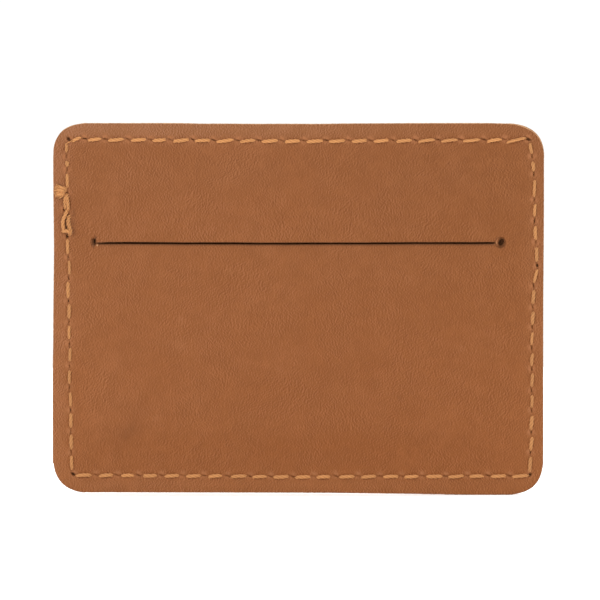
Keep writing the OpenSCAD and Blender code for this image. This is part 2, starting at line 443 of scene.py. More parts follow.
        # the lower lip is rounded over by use
        cut = smooth((x + 42.9) / 0.8) * smooth((41.8 - x) / 0.8)
        h -= np.where(dz < 0, 0.30 * np.exp(-np.maximum(-dz - 0.2, 0) / 0.20), 0.0) * cut
        fl = flare(p)
        h -= 0.62 * smooth(fl) ** 0.8
        for (ox, oz, oa, ob), _ in PUNCH:
            e, c = oval(p, ox, oz, oa, ob)
            h += 0.05 * bump((c - 0.22) / 0.30) * (c > -0.1)
        # the right-hand hole: the punch left a ring all round it, and a sliver of
        # skin stands between the ring and the hole on the side of the cut
        q = (z - 53.52) / 0.5
        ringd = np.hypot((x - 42.72) / 1.10, (z - 53.46) / 1.06)
        line = bump((ringd - 0.98) / 0.16)
        crescent = bump((x - 42.03 - 0.08 * q * q) / 0.22) * bump((z - 53.52) / 0.68)
        h += 0.20 * crescent - 0.08 * line
        # a nick under the left one
        nick = bump(np.hypot((x + 42.60) / 0.21, (z - 52.90) / 0.20))
        h += 0.12 * nick
        raw = np.maximum(raw * (fl < 0.02), np.maximum(0.60 * crescent, 1.25 * nick))
        left = x < 0
        shade = np.interp(x, [-44.55, -44.07, -43.86, -43.65, -43.43, -43.22, -43.0, -42.86, -42.72], [0.05, 0.22, 0.50, 0.75, 0.82, 0.90, 0.86, 0.35, 0]) \
            * smooth((54.58 - z) / 0.40) * smooth((z - 52.62) / 0.36) * smooth(fl / 0.12)
        h -= 0.25 * shade * left
        # painted shade: the flares of the punched holes are painted dark, the left one by the shade table, the ring
        # round the right one darker low down
        ring = np.where(left, shade, 0.62 * smooth(fl * 1.1) + 0.10 * smooth(fl / 0.1))
        ring = np.maximum(ring, line * (0.48 + 0.18 * smooth((53.4 - z) / 0.8)) * (~left))
        ring = np.maximum(ring, 0.62 * bump((ringd - 0.88) / 0.25) * smooth((53.35 - z) / 0.4) * (~left))
        pit = np.maximum(pit, ring * (1 - np.minimum(1.5 * crescent, 1)))
        # where the cut runs out into the left hole only a dark line is painted, the painted shade of a crease
        pit = np.maximum(pit, 0.80 * bump((z - 53.34) / 0.24) * smooth((x + 43.1) / 0.2) * smooth((-41.8 - x) / 0.4))
        # painted shade: the lower lip is darkened where it turns in under the flap, the upper edge a little
        pit = np.maximum(pit, np.where(dz < 0, 0.95 * np.exp(-np.maximum(-dz - 0.20, 0) / 0.21), 0.25 * np.exp(-np.maximum(dz - 0.22, 0) / 0.1)) * cut)
        pit = pit * (1 - np.minimum(nick * 1.3, 1))
        # painted highlight: the crescent in the right hole and the nick under the left one are painted paler
        lip = np.maximum(lip * (fl < 0.02), np.maximum(1.2 * crescent, 2.2 * nick))
    return h, din, ds, pit, lip, raw


# ------------------------------------------------------------------- meshes
ATT = ("raw", "lip", "pit", "margin", "flesh", "stain")


class Mesh:
    def __init__(self):
        self.v, self.f, self.n = [], [], 0
        self.a = {k: [] for k in ATT}

    def add(self, xz, y, **att):
        """Points at (x, z) and depth y; gives the number of the first one."""
        n0 = self.n
        self.v.append(np.column_stack([xz[:, 0], np.broadcast_to(y, len(xz)), xz[:, 1]]))
        for k in ATT:
            self.a[k].append(np.broadcast_to(np.asarray(att.get(k, 0.0), float), len(xz)))
        self.n += len(xz)
        return n0

    def strip(self, a, b, n, flip):
        """Quads between two closed rings of n points."""
        for i in range(n):
            j = (i + 1) % n
            q = (a + i, a + j, b + j, b + i)
            self.f.append(q[::-1] if flip else q)

    def build(self, name):
        v = np.vstack(self.v) * MM
        me = bpy.data.meshes.new(name)
        me.from_pydata(v.tolist(), [], [tuple(int(i) for i in f) for f in self.f])
        me.update()
        for k in ATT:
            d = me.attributes.new(k, "FLOAT", "POINT")
            d.data.foreach_set("value", np.concatenate(self.a[k]).astype(np.float32))
        me.polygons.foreach_set("use_smooth", np.ones(len(me.polygons), bool))
        me.update()
        ob = bpy.data.objects.new(name, me)
        bpy.context.scene.collection.objects.link(ob)
        return ob


def triangulate(pts, loops, keep):
    """Constrained triangulation; loops are (start, count) of closed rings in
    pts; keep says which centroids stay."""
    edges = []
    for s, n in loops:
        edges += [(s + i, s + (i + 1) % n) for i in range(n)]
    r = delaunay_2d_cdt([Vector((float(a), float(b))) for a, b in pts], edges, [], 0, 1e-7)
    back = [o[0] if len(o) else -1 for o in r[3]]
    tri = np.array([[back[i] for i in f] for f in r[2] if len(f) == 3])
    tri = tri[(tri >= 0).all(1)]
    c = pts[tri].mean(1)
    tri = tri[keep(c)]
    a, b, d = pts[tri[:, 0]], pts[tri[:, 1]], pts[tri[:, 2]]
    area = (b[:, 0] - a[:, 0]) * (d[:, 1] - a[:, 1]) - (b[:, 1] - a[:, 1]) * (d[:, 0] - a[:, 0])
    tri[area < 0] = tri[area < 0][:, ::-1]
    return tri[np.abs(area) > 1e-9]


def hexgrid(step, g, jit=0.18):
    xs = np.arange(-HALF_W - 1, HALF_W + 1, step)
    zs = np.arange(-1, HEIGHT + 1, step * 0.866)
    x, z = np.meshgrid(xs, zs)
    x = x + (np.arange(len(zs)) % 2)[:, None] * step / 2
    p = np.column_stack([x.ravel(), z.ravel()])
    return p + g.uniform(-jit, jit, p.shape) * step


def face_points(outl0, loop0):
    """Points of the outer face, dense at the seam, the holes and the slit."""
    g = np.random.default_rng(3)
    fine, mid, coarse = hexgrid(0.25, g), hexgrid(0.5, g), hexgrid(0.85, g)

    def zone(p):
        ds = border_dist(p, SEAM, 4.0)
        d = ds - 1.05
        if loop0 is not None:
            d = np.minimum(d, slit_sdf(p) - 0.85)
        return d

    def rough(p, near):
        """Cheap first cut, so the distance is not worked out everywhere."""
        return p[(np.abs(np.abs(p[:, 0]) - 49) < near) | (p[:, 1] > 74.9 - near) | (p[:, 1] < 4.2 + near)
                 | ((np.abs(p[:, 1] - SLIT_Z) < near) if loop0 is not None else False)]

    fine = rough(fine, 2.6)
    fine = fine[zone(fine) < 0]
    mid = rough(mid, 6.5)
    zm = zone(mid)
    mid = mid[(zm > 0.1) & (zm < 2.2)]
    zc = zone(coarse)
    coarse = coarse[zc > 2.3]
    p = np.vstack([fine, mid, coarse])
    ok = np.ones(len(p), bool)
    rings = []
    for hx, hz, dx, dz, la, wi, dark in HOLE:
        near = np.hypot(p[:, 0] - hx, p[:, 1] - hz) < la * 1.5 + 0.12
        s = (p[:, 0] - hx) * dx + (p[:, 1] - hz) * dz
        t = -(p[:, 0] - hx) * dz + (p[:, 1] - hz) * dx
        ok &= ~(near & ((s / (la * 1.62)) ** 2 + (t / (wi * 2.4 + 0.06)) ** 2 < 1))
        for f, n in ((0.0, 1), (0.45, 10), (0.85, 14), (1.15, 14), (1.5, 14)):
            for i in range(n):
                a = 2 * math.pi * (i + 0.5 * (f == 0.85)) / n
                u, v = la * f * math.cos(a), (wi * f if f < 1 else wi * f * 1.25) * math.sin(a)
                rings.append((hx + u * dx - v * dz, hz + u * dz + v * dx))
    p = np.vstack([p[ok], np.array(rings)])
    p = p[inside_border(p, outl0)]
    p = p[border_dist(p, outl0[::2], 4.0) > 0.16]
    if loop0 is not None:
        # finer rings round the punched holes, fanned out from their walls
        keep = np.ones(len(p), bool)
        extra = []
        near = [loop0[np.hypot(loop0[:, 0] - q[1][0], loop0[:, 1] - q[1][1]) < 1.7] for q in PUNCH]
        for q, nl in zip(PUNCH, near):
            keep &= oval(p, q[0][0], q[0][1], q[0][2] + 0.45, q[0][3] + 0.45)[0] > 1
            for lv in (0.20, 0.28, 0.37, 0.47, 0.58, 0.70, 0.83, 0.97, 1.12, 1.28):
                e = to_level(nl[::1 if lv < 0.3 else 2].copy(), lv)
                extra.append(e[oval(e, q[0][0], q[0][1], q[0][2] + 0.45, q[0][3] + 0.45)[0] < 1.08])
        extra = np.vstack(extra)
        # drop ring points that crowd each other at the neck
        cell = set()
        pick = []
        for i, (x, z) in enumerate(extra):
            key = (round(x / 0.07), round(z / 0.07))
            if key not in cell:
                cell.add(key)
                pick.append(i)
        p = np.vstack([p[keep], extra[pick]])
        # and two rows just behind the lips of the cut
        xs = np.arange(-41.6, 41.0, 0.24)
        for off in (0.24, 0.42):
            for sg in (-1, 1):
                p = np.vstack([p, np.column_stack([xs, slit_centre(xs) + sg * (slit_half(xs) + off)])])
        band = (np.abs(p[:, 0]) < 41.5) & (np.abs(p[:, 1] - slit_centre(p[:, 0])) < slit_half(p[:, 0]) + 0.52)
        band[-4 * len(xs):] = False
        p = p[~band]
        p = p[slit_sdf(p) > 0.12 + 0.06]
    return p


def stains(p):
    """Marks of handling: a dark smudge, pale specks and one short scratch."""
    x, z = p[:, 0], p[:, 1]
    s = 0.55 * bump(np.hypot((x + 35.1) / 2.4, (z - 14.0) / 1.3)) + 0.45 * bump(np.hypot((x + 36.6) / 1.2, (z - 12.6) / 1.0))
    s += 0.30 * bump(np.hypot((x + 38) / 3.2, (z - 11.0) / 2.2)) + 0.25 * bump(np.hypot((x + 33.6) / 2.0, (z - 17.0) / 2.2))
    s -= 0.55 * bump(np.hypot((x + 25.1) / 1.3, (z - 31.8) / 1.1))
    for a, b, r, k in ((-30.2, 16.2, 0.5, -1.0), (-24.9, 37.1, 0.45, -0.9), (-14.5, 47.3, 0.5, -0.6), (-4.2, 26.7, 0.5, -0.7),
                       (23.2, 45.8, 0.45, -0.8), (34.6, 31.0, 0.5, -0.7), (21.3, 20.2, 0.4, 1.1)):
        s += k * bump(np.hypot(x - a, z - b) / r)
    return s


def spread(q, gap=0.02, rounds=60):
    """Evens out ring points that bunch up in a sharp corner."""
    for _ in range(rounds):
        d = np.linalg.norm(np.roll(q, -1, 0) - q, axis=1)
        tight = (d < gap) | (np.roll(d, 1) < gap)
        if not tight.any():
            break
        q = np.where(tight[:, None], (np.roll(q, 1, 0) + np.roll(q, -1, 0) + q) / 3, q)
    return q


def tidy(tri, p, loops):
    """Leaves out the slivers that lie outside, along a border."""
    tri = np.asarray(tri)
    border = {frozenset((s + i, s + (i + 1) % c)) for s, c in loops for i in range(c)}
    u, v = p[tri[:, 1]] - p[tri[:, 0]], p[tri[:, 2]] - p[tri[:, 0]]
    area = np.abs(u[:, 0] * v[:, 1] - u[:, 1] * v[:, 0])
    use = {}
    for k, t in enumerate(tri.tolist()):
        for a, b in ((t[0], t[1]), (t[1], t[2]), (t[2], t[0])):
            e = frozenset((a, b))
            if e in border:
                use.setdefault(e, []).append(k)
    keep = np.ones(len(tri), bool)
    for ks in use.values():
        if len(ks) > 1:
            keep[min(ks, key=lambda k: area[k])] = False
    return tri[keep]


def panel(name, node, side):
    """side -1 is the front (towards -Y, with the slit), +1 the back."""
    front = side < 0
    sg = 1 if front else 2
    g = np.random.default_rng(100 + sg)
    outl = outline()
    nrm = inward(outl)
    n = len(outl)
    if not front:  # the back panel was cut a hair larger, most at the top right
        grow = 0.03 + 0.02 * smooth((outl[:, 1] - 70) / 8) + 0.13 * bump(np.hypot(outl[:, 0] - 49.5, outl[:, 1] - 76.5) / 4.0) \
            - 0.03 * smooth((4 - outl[:, 1]) / 4)
        outl = outl - nrm * grow[:, None]
        outl[:, 1] = np.maximum(outl[:, 1], 0.0)
    M = Mesh()
    sx = -1.0 if front else 1.0
    loop = slit_loop() if front else None
    ring0 = outl + nrm * 0.32
    hole0 = spread(to_level(loop.copy(), 0.12)) if front else None
    pts = face_points(ring0, hole0)
    allp = np.vstack([ring0] + ([hole0] if front else []) + [pts])
    h, din, ds, pit, lip, raw = face_height(allp, sg, outl, loop)
    margin = smooth((5.5 - din) / 4.5)
    stain = stains(allp) if front else -stains(allp * [-1, 1]) * 0.4
    lps = [(0, n)] + ([(n, len(hole0))] if front else [])
    tri = tidy(triangulate(allp, lps, lambda c: inside_border(c, ring0) & (~inside(c, hole0) if front else True)), allp, lps)
    base = M.add(allp, sx * h, lip=lip, raw=raw, pit=pit, margin=margin, stain=stain)
    flip = front
    # seen from the front, x to the right and z up, a counter-clockwise face
    # looks towards -Y
    for t in tri:
        M.f.append((base + t[0], base + t[1], base + t[2]) if front else (base + t[2], base + t[1], base + t[0]))
    # cut edge, rounded over at the grain side, fibrous below
    hf = h[:n]
    rough = np.zeros(n)
    for w in (1, 2, 5):
        r = g.normal(0, 1, n)
        for _ in range(w):
            r = (np.roll(r, 1) + r + np.roll(r, -1)) / 3
        rough += r * 0.6
    prev = base
    prof = [(0.19, -0.025, 0.05), (0.095, -0.075, 0.2), (0.03, -0.16, 0.55), (0.0, -0.30, 1.0)]
    # the top edge, the side edges and the top right corner are rounded lower by wear and painted paler there: partly
    # worn grain, partly a painted highlight
    wear_and_highlight = 0.55 * smooth((outl[:, 1] - 76.5) / 1.5) + 0.20 * smooth((np.abs(outl[:, 0]) - 51) / 0.6) \
        + 0.75 * bump(np.hypot(outl[:, 0] - 49.6, outl[:, 1] - 77.1) / 3.6)
    for o, dh, raw in prof:
        k = M.add(outl + nrm * (o + rough[:, None] * 0.010), sx * (hf + dh - 0.10 * wear_and_highlight * (o < 0.15)), raw=raw + wear_and_highlight * (1 - o * 2.5), margin=1.0)
        M.strip(prev, k, n, flip=not front)
        prev = k
    for f, o in ((0.66, -0.012), (0.50, -0.02), (0.33, -0.012), (0.17, 0.0)):
        jag = np.roll(rough, int(f * 40)) * 0.028 + g.normal(0, 0.012, n)
        y = hf * f
        q = outl + nrm * (o + jag[:, None])
        q[:, 1] = np.maximum(q[:, 1], 0.0)
        k = M.add(q, sx * y, raw=1.0, margin=1.0)
        M.strip(prev, k, n, flip=not front)
        prev = k
    for y, o in ((0.07, 0.035), (0.03, 0.14)):
        k = M.add(outl + nrm * (o + rough[:, None] * 0.01), sx * y, raw=1.2, margin=1.0)
        M.strip(prev, k, n, flip=not front)
        prev = k
    inner_ring = prev
    inner_pts = outl + nrm * (0.14 + rough[:, None] * 0.01)

    def inner_h(p):
        d = border_dist(p, outl[::3], 15.0)
        return 0.03 + BOW * smooth((d - 6.5) / 8.0) + 0.13 * smooth((d - 7) / 6)

    lp2 = [(0, n)]
    ip = [inner_pts]
    if front:
        m = len(loop)
        prevh = base + n
        hh = h[n:n + m]
        # walls of the cut: rounded lip, straight cut, out at the flesh side;
        # the holes were punched a little askew
        wall = [(0.06, -0.025, 0.2, 0.0), (0.015, -0.075, 0.6, 0.0), (0.0, -0.16, 0.9, 0.0), (0.0, -0.35, 1.0, 0.0),
                (0.0, -0.60, 1.0, 0.0), (0.0, -0.82, 1.0, 0.0)]
        near = bump((loop[:, 0] - PUNCH[0][1][0]) / 1.2) + bump((loop[:, 0] - PUNCH[1][1][0]) / 1.2)
        for off, dh, raw, shear in wall:
            q = to_level(loop.copy(), off)
            q = q + np.column_stack([near * shear * 1.5, near * shear * 0.35])
            q += g.normal(0, 0.006, q.shape)
            # painted shade: the walls are painted darker the deeper they go
            k = M.add(q, sx * np.maximum(hh + dh * (1 - 0.4 * near), 0.62), raw=raw * 0.5, pit=np.maximum(np.clip(0.1 + 0.70 * raw, 0, 1), pit[n:n + m]), flesh=0.0)
            # this ring runs the other way round from the outline
            M.strip(prevh, k, m, flip=not front)
            prevh = k
        qi = loop.copy()
        # painted shade where the wall meets the flesh side
        k = M.add(qi, sx * np.minimum(inner_h(qi), 0.55), raw=0.6, flesh=1.0, pit=0.6)
        M.strip(prevh, k, m, flip=not front)
        lp2.append((n, m))
        ip.append(qi)
        inner_hole = k
    if front:
        # a sliver of skin in the right hole: raw colour, with a painted highlight
        c, _ = spline([(42.16, -THICK + 0.28, 54.12), (42.02, -THICK - 0.10, 53.92), (41.96, -THICK - 0.20, 53.55), (42.02, -THICK - 0.16, 53.22), (42.20, -THICK + 0.25, 52.96)], 0.06)
        th = np.linspace(0, 2 * math.pi, 12, endpoint=False)
        first = prevs = None
        for i, (cx, cy, cz) in enumerate(c):
            w = 0.20 * math.sin(math.pi * (0.06 + 0.88 * i / (len(c) - 1))) ** 0.7
            k = M.add(np.column_stack([cx - 0.03 + w * np.cos(th), np.full(12, cz)]), cy + 0.30 * w * np.sin(th), raw=0.40, lip=0.35)
            if i:
                M.strip(prevs, k, 12, flip=True)
            else:
                first = k
            prevs = k
        M.f.append(tuple(range(first, first + 12))[::-1])
        M.f.append(tuple(range(prevs, prevs + 12)))
    grid = hexgrid(2.2, g, 0.1)
    grid = grid[inside_border(grid, inner_pts)]
    grid = grid[border_dist(grid, inner_pts[::2], 4.0) > 1.0]
    if front:
        grid = grid[slit_sdf(grid) > 1.2]
    ip = np.vstack(ip + [grid])
    tri = tidy(triangulate(ip, lp2, lambda c: inside_border(c, inner_pts) & (~inside(c, qi) if front else True)), ip, lp2)
    gi = M.add(grid, sx * inner_h(grid), flesh=1.0)
    idx = np.concatenate([inner_ring + np.arange(n)] + ([inner_hole + np.arange(m)] if front else []) + [gi + np.arange(len(grid))])
    for t in tri:
        a, b, c = idx[t]
        M.f.append((a, c, b) if front else (c, a, b))
    ob = M.build(name)
    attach(ob, "root")
    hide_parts(node)
    return ob


# ------------------------------------------------------------------ threads
def spline(pts, step):
    """Catmull-Rom through points, evenly resampled."""
    p = np.asarray(pts, float)
    p = np.vstack([2 * p[0] - p[1], p, 2 * p[-1] - p[-2]])
    out = []
    for i in range(1, len(p) - 2):
        t = np.linspace(0, 1, 14, endpoint=False)[:, None]
        a, b, c, d = p[i - 1:i + 3]
        out.append(0.5 * ((2 * b) + (c - a) * t + (2 * a - 5 * b + 4 * c - d) * t ** 2 + (-a + 3 * b - 3 * c + d) * t ** 3))
    out = np.vstack(out + [p[-2:-1]])
    s = np.concatenate([[0], np.cumsum(np.linalg.norm(np.diff(out, axis=0), axis=1))])
    n = max(4, int(round(s[-1] / step)) + 1)
    t = np.linspace(0, s[-1], n)
    return np.column_stack([np.interp(t, s, out[:, k]) for k in range(3)]), s[-1]


class Rope:
    """Collects twisted strands in one mesh."""

    def __init__(self):
        self.v, self.f, self.n = [], [], 0
        self.a = {"ply": [], "along": [], "tone_and_light": []}

    def tube(self, pts, radius, step=0.15, sides=18, plies=3, pitch=2.9, phase=0.0, flat=1.0, lobe=0.42, tone_and_light=0.0, taper=None):
        """Rope along pts. The cross-section has plies lobes that turn to the
        right along it, and is pressed flat against the leather by flat."""
        c, length = spline(pts, step)
        n = len(c)
        t = np.gradient(c, axis=0)
        t /= np.linalg.norm(t, axis=1)[:, None]
        up = np.array([0.0, -1.0, 0.0]) if abs(t[0][1]) < 0.9 else np.array([1.0, 0.0, 0.0])
        nn = up - t[0] * (up @ t[0])
        nn /= np.linalg.norm(nn)
        ns = [nn]
        for i in range(1, n):
            nn = ns[-1] - t[i] * (ns[-1] @ t[i])
            nn /= np.linalg.norm(nn)
            ns.append(nn)
        ns = np.array(ns)
        bs = np.cross(t, ns)
        s = np.linspace(0, length, n)
        k = np.linspace(0, 1, n)
        r = np.full(n, radius) if taper is None else radius * taper(k)
        th = np.arange(sides) / sides * 2 * math.pi
        rings = []
        for i in range(n):
            turn = phase + 2 * math.pi * s[i] / pitch
            if plies > 1:
                d = (plies * (th - turn)) % (2 * math.pi)
                d = (np.where(d > math.pi, d - 2 * math.pi, d)) / plies
                cc, aa = 0.536, 0.464
                lob = cc * np.cos(d) + np.sqrt(np.maximum(aa ** 2 - (cc * np.sin(d)) ** 2, 0.0))
                rho = (1 - lobe) + lobe * lob
                rho = rho * (1 + 0.03 * np.sin(3 * th + 7.0 * s[i]))
            else:
                d = np.zeros(sides)
                rho = np.ones(sides)
            rho = rho * r[i]
            u, w = rho * np.cos(th), rho * np.sin(th)
            rings.append(c[i] + np.outer(u * flat, ns[i]) + np.outer(w, bs[i]))
            self.a["ply"].append(1 - np.abs(d) / (math.pi / max(plies, 1)) if plies > 1 else np.ones(sides))
            self.a["along"].append(np.full(sides, s[i]) + th * 0.0)
            self.a["tone_and_light"].append(np.full(sides, tone_and_light))
        b = self.n
        self.v += rings
        for i in range(n - 1):
            for j in range(sides):
                jj = (j + 1) % sides
                self.f.append((b + i * sides + j, b + i * sides + jj, b + (i + 1) * sides + jj, b + (i + 1) * sides + j))
        self.n += n * sides
        # closed ends
        for i, rev in ((0, True), (n - 1, False)):
            self.v.append(c[i][None] + (t[i] * r[i] * (0.35 if not rev else -0.35))[None])
            for key in self.a:
                self.a[key].append(np.array([1.0 if key == "ply" else (s[i] if key == "along" else tone_and_light)]))
            m = self.n
            self.n += 1
            for j in range(sides):
                jj = (j + 1) % sides
                q = (b + i * sides + j, b + i * sides + jj, m)
                self.f.append(q[::-1] if rev else q)

    def build(self, name, node):
        v = np.vstack(self.v) * MM
        me = bpy.data.meshes.new(name)
        me.from_pydata(v.tolist(), [], self.f)
        me.update()
        for k in self.a:
            d = me.attributes.new(k, "FLOAT", "POINT")
            d.data.foreach_set("value", np.concatenate(self.a[k]).astype(np.float32))
        me.polygons.foreach_set("use_smooth", np.ones(len(me.polygons), bool))
        ob = bpy.data.objects.new(name, me)
        bpy.context.scene.collection.objects.link(ob)
        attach(ob, "root")
        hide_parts(node)
        return ob


def nearest_hole(x, z):
    return HOLE[np.argmin((HOLE[:, 0] - x) ** 2 + (HOLE[:, 1] - z) ** 2)]


def stitch_path(x1, z1, x2, z2, side, rise, g):
    """A stitch comes up out of one needle hole, lies on the leather, and goes
    down into the next."""
    a, b = np.array([x1, z1]), np.array([x2, z2])
    L = np.linalg.norm(b - a)
    d = (b - a) / L
    q = np.array([-d[1], d[0]])
    ha, hb = nearest_hole(*(a - d * 0.6)), nearest_hole(*(b + d * 0.6))
    pa = np.array(ha[:2]) + d * 0.10
    pb = np.array(hb[:2]) - d * 0.10
    pa = a + (pa - a) * min(1, 0.85 / max(np.linalg.norm(pa - a), 1e-6))
    pb = b + (pb - b) * min(1, 0.85 / max(np.linalg.norm(pb - b), 1e-6))
    w = g.uniform(-0.05, 0.05)
    h0 = THICK
    e = min(0.5, L * 0.22)
    out = [(*pa, h0 - 1.15), (*(pa * 0.55 + a * 0.45), h0 - 0.80), (*(a + d * 0.02), h0 - 0.40), (*(a + d * e), h0 - 0.11),
           (*(a + d * L * 0.36 + q * w), h0 + rise), (*(a + d * L * 0.64 + q * w), h0 + rise),
           (*(b - d * e), h0 - 0.11), (*(b - d * 0.02), h0 - 0.40), (*(pb * 0.55 + b * 0.45), h0 - 0.80), (*pb, h0 - 1.15)]
    return [(x, side * h, z) for x, z, h in out]


def seam_thread(name, node, side):
    R = Rope()
    g = np.random.default_rng(31 if side < 0 else 32)
    nt, nb, nl = len(TOP), len(BOTTOM), len(LEFT)
    for i, (x1, z1, x2, z2) in enumerate(STITCH):
        left = nt + nb <= i < nt + nb + nl
        vertical = i >= nt + nb
        il = i - nt - nb
        if left and il in (3, 4) and side < 0:
            continue  # these two are part of the doubled run
        if side > 0:  # bobbin side: the slant runs the other way
            if vertical:
                x1, x2 = x2, x1
            else:
                z1, z2 = z2, z1
            e = g.uniform(-0.12, 0.12, 2)
            if vertical:
                z1, z2 = z1 + e[0], z2 + e[1]
            else:
                x1, x2 = x1 + e[0], x2 + e[1]
        r = THREAD_R * g.uniform(0.95, 1.05) * (g.uniform(0.80, 1.12) if vertical else 1.10 if i < nt else 1.06)
        rise = -0.04 + 0.04 * g.uniform(-1, 1)
        # painted light: upright stitches get a darker tone and the top row the lightest, for how the light from above
        # falls on them
        tone_and_light = g.uniform(-0.8, 0.0) if vertical else g.uniform(0.3, 1.0) if i < nt else g.uniform(0.1, 0.8)
        if side < 0:  # pulled a little outwards and down when the seam was hammered flat
            x1, x2, z1, z2 = (x1 + (0.11 if left else 0.03), x2 + (0.11 if left else 0.03), z1, z2) if vertical else (x1, x2, z1 - 0.09, z2 - 0.09)
        R.tube(stitch_path(x1, z1, x2, z2, side, rise, g), r, phase=g.uniform(0, 6.28), pitch=2.9 * g.uniform(0.93, 1.08),
               flat=0.62, tone_and_light=tone_and_light, taper=lambda k: 0.55 + 0.45 * np.sin(math.pi * np.clip(k, 0, 1)) ** 0.8)
    return R.build(name, node)


def backtack():
    """The doubled run high on the left side of the front."""
    R = Rope()
    h = THICK

    def P(*a):
        return [(x, -(h + y), z) for x, z, y in a]

    tp = lambda k: 0.72 + 0.28 * np.sin(math.pi * np.clip(k, 0, 1)) ** 0.6
    # fat stitch: two strands side by side, one lying half over the other
    R.tube(P((-49.12, 63.95, -0.9), (-49.22, 63.55, -0.25), (-49.42, 62.9, 0.20), (-49.50, 61.9, 0.28), (-49.42, 61.1, 0.16), (-49.42, 60.6, -0.25),
             (-49.45, 60.4, -0.9)), 0.38, phase=0.4, tone_and_light=0.1, taper=tp, pitch=2.2, lobe=0.75)
    R.tube(P((-49.02, 63.9, -0.9), (-49.06, 63.5, -0.10), (-48.98, 62.8, 0.34), (-48.90, 61.9, 0.42), (-48.80, 61.1, 0.36), (-48.86, 60.5, 0.10),
             (-49.0, 60.25, -0.5)), 0.41, phase=2.0, tone_and_light=0.2, taper=tp, pitch=2.0, lobe=0.8)
    # open loop: the left strand bows out and comes back at the foot
    R.tube(P((-48.95, 60.55, -0.8), (-49.08, 60.15, 0.05), (-49.30, 59.55, 0.38), (-49.62, 58.85, 0.46), (-49.86, 58.2, 0.48), (-49.93, 57.4, 0.48),
             (-49.84, 56.7, 0.44), (-49.72, 56.15, 0.30), (-49.5, 55.9, -0.1), (-49.4, 55.7, -0.8)), 0.42, phase=1.0, tone_and_light=0.4, taper=tp)
    # right strand, thick and tightly twisted, from under the ridge to the foot
    R.tube(P((-48.52, 59.3, -0.8), (-48.60, 58.95, -0.05), (-48.74, 58.45, 0.30), (-48.76, 57.8, 0.42), (-48.66, 57.1, 0.44), (-48.46, 56.4, 0.42),
             (-48.32, 55.8, 0.26), (-48.45, 55.3, -0.1), (-48.7, 55.1, -0.8)), 0.50, phase=3.1, tone_and_light=-0.2, pitch=2.1, lobe=0.75, taper=tp)
    # short turn curling over the foot of the loop
    R.tube(P((-50.0, 55.95, -0.3), (-49.80, 55.85, 0.22), (-49.42, 55.90, 0.56), (-49.02, 55.90, 0.72), (-48.65, 55.72, 0.66), (-48.42, 55.42, 0.30),
             (-48.5, 55.15, -0.3)), 0.42, phase=0.2, tone_and_light=0.3, taper=tp, pitch=2.2)
    # the thin end that crosses the top left corner
    R.tube(P((-47.98, 75.16, -0.35), (-48.15, 75.00, 0.08), (-48.50, 74.78, 0.16), (-48.85, 74.62, 0.18), (-49.2, 74.35, 0.0)), 0.115, phase=0.2,
           tone_and_light=1.0, sides=10, plies=2, pitch=1.4, taper=tp)
    return R.build("backtack_thread", "backtack")


def tail():
    """The cut end: three plies that come apart into fine fibres."""
    R = Rope()
    g = np.random.default_rng(77)
    h = THICK

    def P(*a):
        return [(x, -(h + y), z) for x, z, y in a]

    def tp(k):
        return (0.62 + 0.75 * smooth(k * 2.2)) * (1 - 0.75 * smooth((k - 0.5) / 0.5))

    # the plies: upper prong, body, lower prong
    R.tube(P((-49.12, 64.72, -0.7), (-49.34, 64.82, 0.0), (-49.78, 65.00, 0.26), (-50.35, 65.16, 0.34), (-50.90, 65.28, 0.30), (-51.36, 65.44, 0.22)),
           0.33, sides=14, plies=2, pitch=4.0, tone_and_light=0.4, taper=tp)
    R.tube(P((-49.20, 64.50, -0.7), (-49.46, 64.56, 0.02), (-49.95, 64.62, 0.32), (-50.6, 64.60, 0.38), (-51.15, 64.46, 0.32), (-51.62, 64.32, 0.22)),
           0.44, sides=14, plies=2, pitch=4.2, tone_and_light=0.0, taper=tp)
    R.tube(P((-49.30, 64.34, -0.7), (-49.56, 64.26, -0.02), (-49.98, 64.02, 0.26), (-50.6, 63.78, 0.32), (-51.2, 63.66, 0.26), (-51.66, 63.72, 0.18)),
           0.46, sides=14, plies=2, pitch=4.2, tone_and_light=0.6, taper=tp)
    R.tube(P((-49.42, 64.16, -0.7), (-49.66, 63.98, -0.1), (-50.02, 63.56, 0.16), (-50.45, 63.10, 0.20), (-50.85, 62.72, 0.12)),
           0.32, sides=14, plies=2, pitch=4.0, tone_and_light=-0.2, taper=tp)
    # loose fibres lie along the plies in three locks
    locks = ((157, 0.30, 64.72, 2.12, 0.40), (180, 0.50, 64.36, 2.36, 0.46), (204, 0.44, 64.10, 2.10, 0.40))
    for i in range(420):
        deg, spread, z0, reach, y = locks[i % 3]
        u = g.uniform(-1, 1)
        a = math.radians(deg + 13 * u + g.normal(0, 1.5))
        L = reach * g.uniform(0.62, 1.08) * (1 - 0.16 * u * u)
        sx, sz = -49.56 + g.normal(0, 0.05), z0 - 0.5 * spread * u + g.normal(0, 0.03)
        y0 = y * g.uniform(0.55, 1.10) * (1 - 0.55 * u * u)
        bend = g.normal(0, 0.08) - 0.16 * (deg - 178) / 27
        pts = []
        for k in np.linspace(0, 1, 6):
            ang = a + bend * k * k
            pts.append((max(sx + L * k * math.cos(ang), -51.92 + 0.12 * math.sin(i)), sz + L * k * math.sin(ang), y0 * (0.25 + 1.1 * math.sin(math.pi * (0.12 + 0.62 * k))) + 0.04))
        R.tube(P(*pts), g.uniform(0.05, 0.085), step=0.24, sides=5, plies=1, tone_and_light=g.uniform(-0.3, 1), taper=lambda k: 1 - 0.6 * k)
    return R.build("thread_tail_fibres", "thread_tail")


